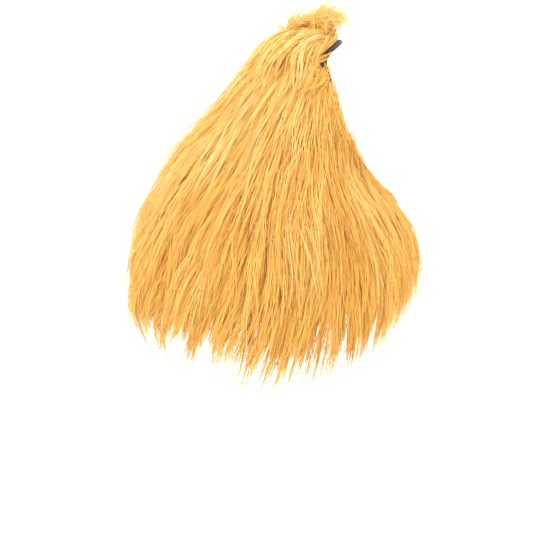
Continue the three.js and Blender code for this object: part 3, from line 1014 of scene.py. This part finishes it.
def cloth_mesh(name, side):
    """One half of the hood and cape: a sheet from the face's edge and the chest round to the back."""
    edges = edge_table(0.0)
    _, face_levels = face_loop(0.0, np.linspace(0, math.pi, ROWS_BESIDE + 1))
    levels = np.concatenate([
        np.linspace(CROWN_LEVEL, face_levels[0], ROWS_ABOVE + 1)[:-1], face_levels,
        np.linspace(face_levels[-1], 2, ROWS_BELOW + 1)[1:],
    ])

    def place(column, row):
        level = levels[row]
        angle = cloth_angle(side * np.maximum(column / HALF_COLUMNS, FIRST_COLUMN), level, edges)
        points = inner_point(angle, level)
        points[:, 0] = side * np.maximum(side * points[:, 0], CLEARANCE / 2)
        half, height = ring(level)[4], ring(level)[0]
        return points, np.stack([(math.pi - np.abs(angle)) * half, -height], -1)

    bm = moulded_grid(HALF_COLUMNS, len(levels) - 1, place)
    bmesh.ops.remove_doubles(bm, verts=bm.verts, dist=WELD)
    bmesh.ops.recalc_face_normals(bm, faces=bm.faces)
    outward = sum(face.normal.dot(face.calc_center_median() - INSIDE) for face in bm.faces)
    if outward < 0:
        bmesh.ops.reverse_faces(bm, faces=bm.faces)
    return mesh_of(name, bm)


BAND_STATIONS = 220
SECTION_STATIONS = 20
SECTION_ROUNDING = 0.6


def band_mesh():
    """The elastic edging: a flat rounded section carried round the face opening."""
    turn = np.linspace(0, math.tau, BAND_STATIONS, endpoint=False)
    angle, level = face_loop(-CLEARANCE - BAND_WIDTH / 2, turn)
    centre = skin_point(angle, level, np.full(BAND_STATIONS, WALL / 2))
    outward = skin_normal(angle, level)
    following = unit(np.roll(centre, -1, 0) - np.roll(centre, 1, 0))
    across = unit(np.cross(following, outward))
    steps = np.linalg.norm(np.roll(centre, -1, 0) - centre, axis=1)
    run = np.concatenate([[0], np.cumsum(steps)])
    turn = np.linspace(0, math.tau, SECTION_STATIONS + 1)
    rounded = np.stack([np.cos(turn), np.sin(turn)], -1)
    rounded = np.sign(rounded) * np.abs(rounded) ** SECTION_ROUNDING
    flat, thick = rounded[:, 0] * BAND_WIDTH / 2, rounded[:, 1] * (WALL / 2 + BAND_PROUD)
    girth = np.concatenate([[0], np.cumsum(np.hypot(np.diff(flat), np.diff(thick)))])

    def place(column, row):
        here = column % BAND_STATIONS
        points = centre[here] + across[here] * flat[row][:, None] + outward[here] * thick[row][:, None]
        return points, np.stack([run[column], girth[row]], -1)

    bm = moulded_grid(BAND_STATIONS, SECTION_STATIONS, place)
    bmesh.ops.remove_doubles(bm, verts=bm.verts, dist=WELD)
    bmesh.ops.recalc_face_normals(bm, faces=bm.faces)
    return mesh_of("face_elastic", bm)


PANELS = (
    # piece, node, first line, last line
    ("front_pile", "front_fur", -FRONT_SHARE, FRONT_SHARE),
    ("right_pile", "right_fur", NAPE_SHARE - 1, -FRONT_SHARE),
    ("left_pile", "left_fur", FRONT_SHARE, 1 - NAPE_SHARE),
    ("nape_pile", "nape_fur", 1 - NAPE_SHARE, NAPE_SHARE - 1),
)
PANEL_SEGMENTS = 5
PANEL_SEED = 11
RIM_STRANDS = 1600
HIGHEST_ROOT = 0.03
LOWEST_ROOT = 1.985


class MANE_OT_hanging_pile(Operator):
    """Grow the four hanging panels of pile"""

    bl_idname = "mane.hanging_pile"
    bl_label = "Hanging Pile"

    def execute(self, context):
        settings = context.scene.mane_pile
        for number, (name, node, first, last) in enumerate(PANELS):
            rng = np.random.default_rng(PANEL_SEED + number)
            strands = Strands(PANEL_SEGMENTS)
            plot = Plot(first, last, HIGHEST_ROOT, LOWEST_ROOT)
            edging = RIM_STRANDS if node == "front_fur" else 0
            panel_strands(strands, plot, rng, settings, settings.panel_strands - edging)
            if edging:
                rim_strands(strands, rng, edging)
            material = pile_material(name, settings)
            add_piece(name, strands.build(name, rng), material, "golden_pile", node)
        return {"FINISHED"}


CROWN_SEGMENTS = 6
CROWN_SEED = 7

# The pile that falls from the crown, tamed where it would hang before the brow
FALLING_SHARE = 0.62
FALLING_PER_LOCK = 10
FALLING_LEVELS = (0.0008, 0.05)
WHOLE_ROUND = (-1.01, 1.01)
BROW_TAMING = 0.25
TAMED_OVER = 0.3

# The tuft: its roots on the crown's round, and how its locks head, stand and curl. Its places and lengths
# are in mm, and its pitches and curls in degrees.
TUFT_SHARE = 0.38
TUFT_PER_LOCK = 11
TUFT_HALF_WIDTH = 15
TUFT_FRONT = -20
TUFT_DEPTH = 66
CROWN_SAG = 6.8 * MM
CROWN_SAG_REACH = 36 * MM
TUFT_FAN = 30 * MM
TUFT_LENGTHS = (40, 66)
BACKWARD_SHARE = 0.08
BACKWARD_LENGTH = 0.6
BACKWARD_PITCH = 80
FRONT_PITCH = 108
PITCH_FALL = 42
CURLS = (-20, 90)


class MANE_OT_crown_pile(Operator):
    """Grow the crown's falling pile and the tuft over the brow"""

    bl_idname = "mane.crown_pile"
    bl_label = "Crown Pile"

    def execute(self, context):
        settings = context.scene.mane_pile
        rng = np.random.default_rng(CROWN_SEED)
        strands = Strands(CROWN_SEGMENTS)
        self.falling(strands, rng, settings, int(settings.crown_strands * FALLING_SHARE))
        self.tuft(strands, rng, int(settings.crown_strands * TUFT_SHARE))
        material = pile_material("crown_pile", settings)
        add_piece("crown_pile", strands.build("crown_pile", rng), material, "golden_pile", "crown_fur")
        return {"FINISHED"}

    def falling(self, strands, rng, settings, budget):
        """Locks that fall from the crown over the panels' first locks."""
        count = budget // FALLING_PER_LOCK
        angle, level = Plot(*WHOLE_ROUND, *FALLING_LEVELS).roots(count, rng)
        line = FLOW.line(angle, level)
        lift_share = rng.uniform(0, 1, count)
        tame = BROW_TAMING + (1 - BROW_TAMING) * ease((np.abs(line) - 1) / TAMED_OVER)
        # Locks that lie high get a paler tone, as painted light
        locks = Locks.hanging(
            line, level, settings.lock_length * rng.uniform(0.4, 0.8, count),
            np.full(count, 2 * MM), (8 + 12 * lift_share) * MM * tame,
            rng.uniform(-2, 8, count) * MM * tame,
            rng.normal(0, 0.12, count), rng.uniform(0.4, 1.2, count) * settings.waviness,
            rng.uniform(0, math.tau, count),
            0.5 + 0.25 * lift_share + rng.normal(0, 0.09, count), rng,
        )
        grow(
            strands, locks, FALLING_PER_LOCK, 6 * MM * looseness(inner_point(angle, level)),
            2.5 * MM, 1.2 * MM, np.clip(rng.normal(0.6, 0.1, count), 0.2, 0.9), 2.6 * MM, rng,
        )

    def tuft_roots(self, place, rng):
        """Roots from the front of the tuft, at place 0, to its back, on the round of the crown."""
        count = len(place)
        aside, behind = rng.normal(0, TUFT_HALF_WIDTH, count), TUFT_FRONT + TUFT_DEPTH * place
        root = np.stack([aside, behind, np.zeros(count)], -1) * MM
        sag = CROWN_SAG * (root[:, 0] ** 2 + root[:, 1] ** 2) / CROWN_SAG_REACH**2
        root[:, 2] = WALL - sag
        return root

    def tuft(self, strands, rng, budget):
        """Locks swept up and forward over the brow, with a few that lean back."""
        count = budget // TUFT_PER_LOCK
        share = PATH_SHARES
        place = rng.uniform(0, 1, count)
        root = self.tuft_roots(place, rng)
        backward = rng.uniform(0, 1, count) < BACKWARD_SHARE
        heading = rng.normal(0, 0.5, count) + root[:, 0] / TUFT_FAN + np.where(backward, math.pi, 0)
        aim = np.stack([np.sin(heading), -np.cos(heading), np.zeros(count)], -1)
        steep = np.where(backward, BACKWARD_PITCH, FRONT_PITCH - PITCH_FALL * place)
        start = np.radians(steep + rng.normal(0, 12, count))
        finish = np.radians(-rng.uniform(*CURLS, count) * (1 - 0.6 * place))
        length = rng.uniform(*TUFT_LENGTHS, count) * np.where(backward, BACKWARD_LENGTH, 1) * MM
        pitch = start[:, None] + (finish - start)[:, None] * share
        step = length[:, None] * np.gradient(share)
        along = np.cumsum(np.cos(pitch) * step, 1)
        up = np.cumsum(np.sin(pitch) * step, 1)
        paths = root[:, None] + aim[:, None] * along[..., None]
        paths[..., 2] += up
        outward = -aim[:, None] * np.sin(pitch)[..., None]
        outward[..., 2] += np.cos(pitch)
        locks = Locks(paths, outward, 0.68 + rng.normal(0, 0.08, count))
        grow(
            strands, locks, TUFT_PER_LOCK, 6.5 * MM, 4.5 * MM, 0.85 * MM,
            np.clip(rng.normal(0.3, 0.15, count), 0.1, 0.8), 5 * MM, rng,
        )


class MANE_OT_hood_cloth(Operator):
    """Make the two halves of the knit hood and cape, each a sheet with its real thickness"""

    bl_idname = "mane.hood_cloth"
    bl_label = "Hood Cloth"

    def execute(self, context):
        material = knit_material("backing_knit", context.scene.mane_cloth)
        for name, node, side in (("right_knit", "right_cloth", -1), ("left_knit", "left_cloth", 1)):
            mesh = cloth_mesh(name, side)
            piece = add_piece(name, mesh, material, "backing_knit", node)
            wall = piece.modifiers.new("Wall", "SOLIDIFY")
            wall.thickness = WALL
            wall.offset = 1
        return {"FINISHED"}


class MANE_OT_face_band(Operator):
    """Make the ribbed elastic edging of the face opening"""

    bl_idname = "mane.face_band"
    bl_label = "Face Band"

    def execute(self, context):
        material = elastic_material("face_elastic", context.scene.mane_cloth)
        add_piece("face_elastic", band_mesh(), material, "dark_elastic", "face_band")
        return {"FINISHED"}


# The camera's and the lamps' aims, the floor, and the soft lamps
LOOK_AT = Vector((0, 58.5 * MM, -348 * MM))
LAMP_AIM = Vector((0, 50 * MM, -250 * MM))
SENSOR = 36
FLOOR = -740 * MM
FLOOR_RADIUS = 14
FLOOR_SIDES = 96
FLOOR_TONES = ((0.93, 0.93, 0.935), (0.96, 0.96, 0.96))
LAMPS = (
    # place, size, share of the key's power
    ((-1.3, 1.6, 1.7), 1.4, 1.0),
    ((-1.7, -1.3, 0.9), 1.2, 0.35),
    ((1.6, -0.6, 1.2), 1.2, 0.3),
)


class MANE_OT_stage(Operator):
    """Set up the camera, the pale floor and the soft lights"""

    bl_idname = "mane.stage"
    bl_label = "Studio"

    def execute(self, context):
        settings = context.scene.mane_stage
        self.camera(context, settings)
        self.floor()
        self.lights(context, settings)
        context.scene.view_settings.view_transform = "Standard"
        return {"FINISHED"}

    def camera(self, context, settings):
        a, e = settings.azimuth, settings.elevation
        back = Vector((math.sin(a) * math.cos(e), -math.cos(a) * math.cos(e), math.sin(e)))
        data = bpy.data.cameras.new("camera")
        data.lens = settings.lens
        data.sensor_width = SENSOR
        camera = put_in_scene("camera", data)
        camera.location = LOOK_AT + back * settings.distance
        camera.rotation_euler = (-back).to_track_quat("-Z", "Y").to_euler()
        context.scene.camera = camera

    def floor(self):
        bm = bmesh.new()
        bmesh.ops.create_circle(bm, cap_ends=True, segments=FLOOR_SIDES, radius=FLOOR_RADIUS)
        bmesh.ops.translate(bm, verts=bm.verts, vec=(0, 0, FLOOR))
        mesh = mesh_of("floor", bm)
        shader = Shader("floor")
        place = shader.node("ShaderNodeTexCoord").value("Object")
        cloud = shader.noise(place, 1.5)
        color = shader.mix(cloud, *FLOOR_TONES)
        mesh.materials.append(shader.finish(Base_Color=color, Roughness=0.75))
        floor = put_in_scene("floor", mesh)

    def lights(self, context, settings):
        world = bpy.data.worlds.new("studio")
        world.use_nodes = True
        background = world.node_tree.nodes["Background"]
        background.inputs["Color"].default_value = (1, 1, 1, 1)
        background.inputs["Strength"].default_value = settings.fill
        context.scene.world = world
        for number, (place, size, share) in enumerate(LAMPS):
            data = bpy.data.lights.new(f"soft_{number}", "AREA")
            data.size = size
            data.energy = settings.key * share
            lamp = put_in_scene(f"soft_{number}", data)
            lamp.location = place
            lamp.rotation_euler = (LAMP_AIM - Vector(place)).to_track_quat("-Z", "Y").to_euler()


class MANE_PT_panel(Panel):
    """Every operator as a button, and the sizes and colours under them"""

    bl_label = "Mane Wig"
    bl_idname = "MANE_PT_panel"
    bl_space_type = "VIEW_3D"
    bl_region_type = "UI"
    bl_category = "Mane Wig"

    def draw(self, context):
        layout = self.layout
        for operator in OPERATORS:
            layout.operator(operator.bl_idname)
        for group in (context.scene.mane_pile, context.scene.mane_cloth, context.scene.mane_stage):
            box = layout.box()
            for name in group.__annotations__:
                box.prop(group, name)


OPERATORS = (
    MANE_OT_stage, MANE_OT_hood_cloth, MANE_OT_face_band, MANE_OT_hanging_pile, MANE_OT_crown_pile,
)
GROUPS = {"mane_pile": MANE_PG_pile, "mane_cloth": MANE_PG_cloth, "mane_stage": MANE_PG_stage}


CLASSES = (*GROUPS.values(), *OPERATORS, MANE_PT_panel)


def register():
    for kind in CLASSES:
        bpy.utils.register_class(kind)
    for name, group in GROUPS.items():
        setattr(bpy.types.Scene, name, PointerProperty(type=group))


def unregister():
    for name in GROUPS:
        delattr(bpy.types.Scene, name)
    for kind in reversed(CLASSES):
        bpy.utils.unregister_class(kind)


def main():
    register()
    bpy.ops.mane.stage()
    bpy.ops.mane.hood_cloth()
    bpy.ops.mane.face_band()
    bpy.ops.mane.hanging_pile()
    bpy.ops.mane.crown_pile()


if __name__ == "__main__":
    main()
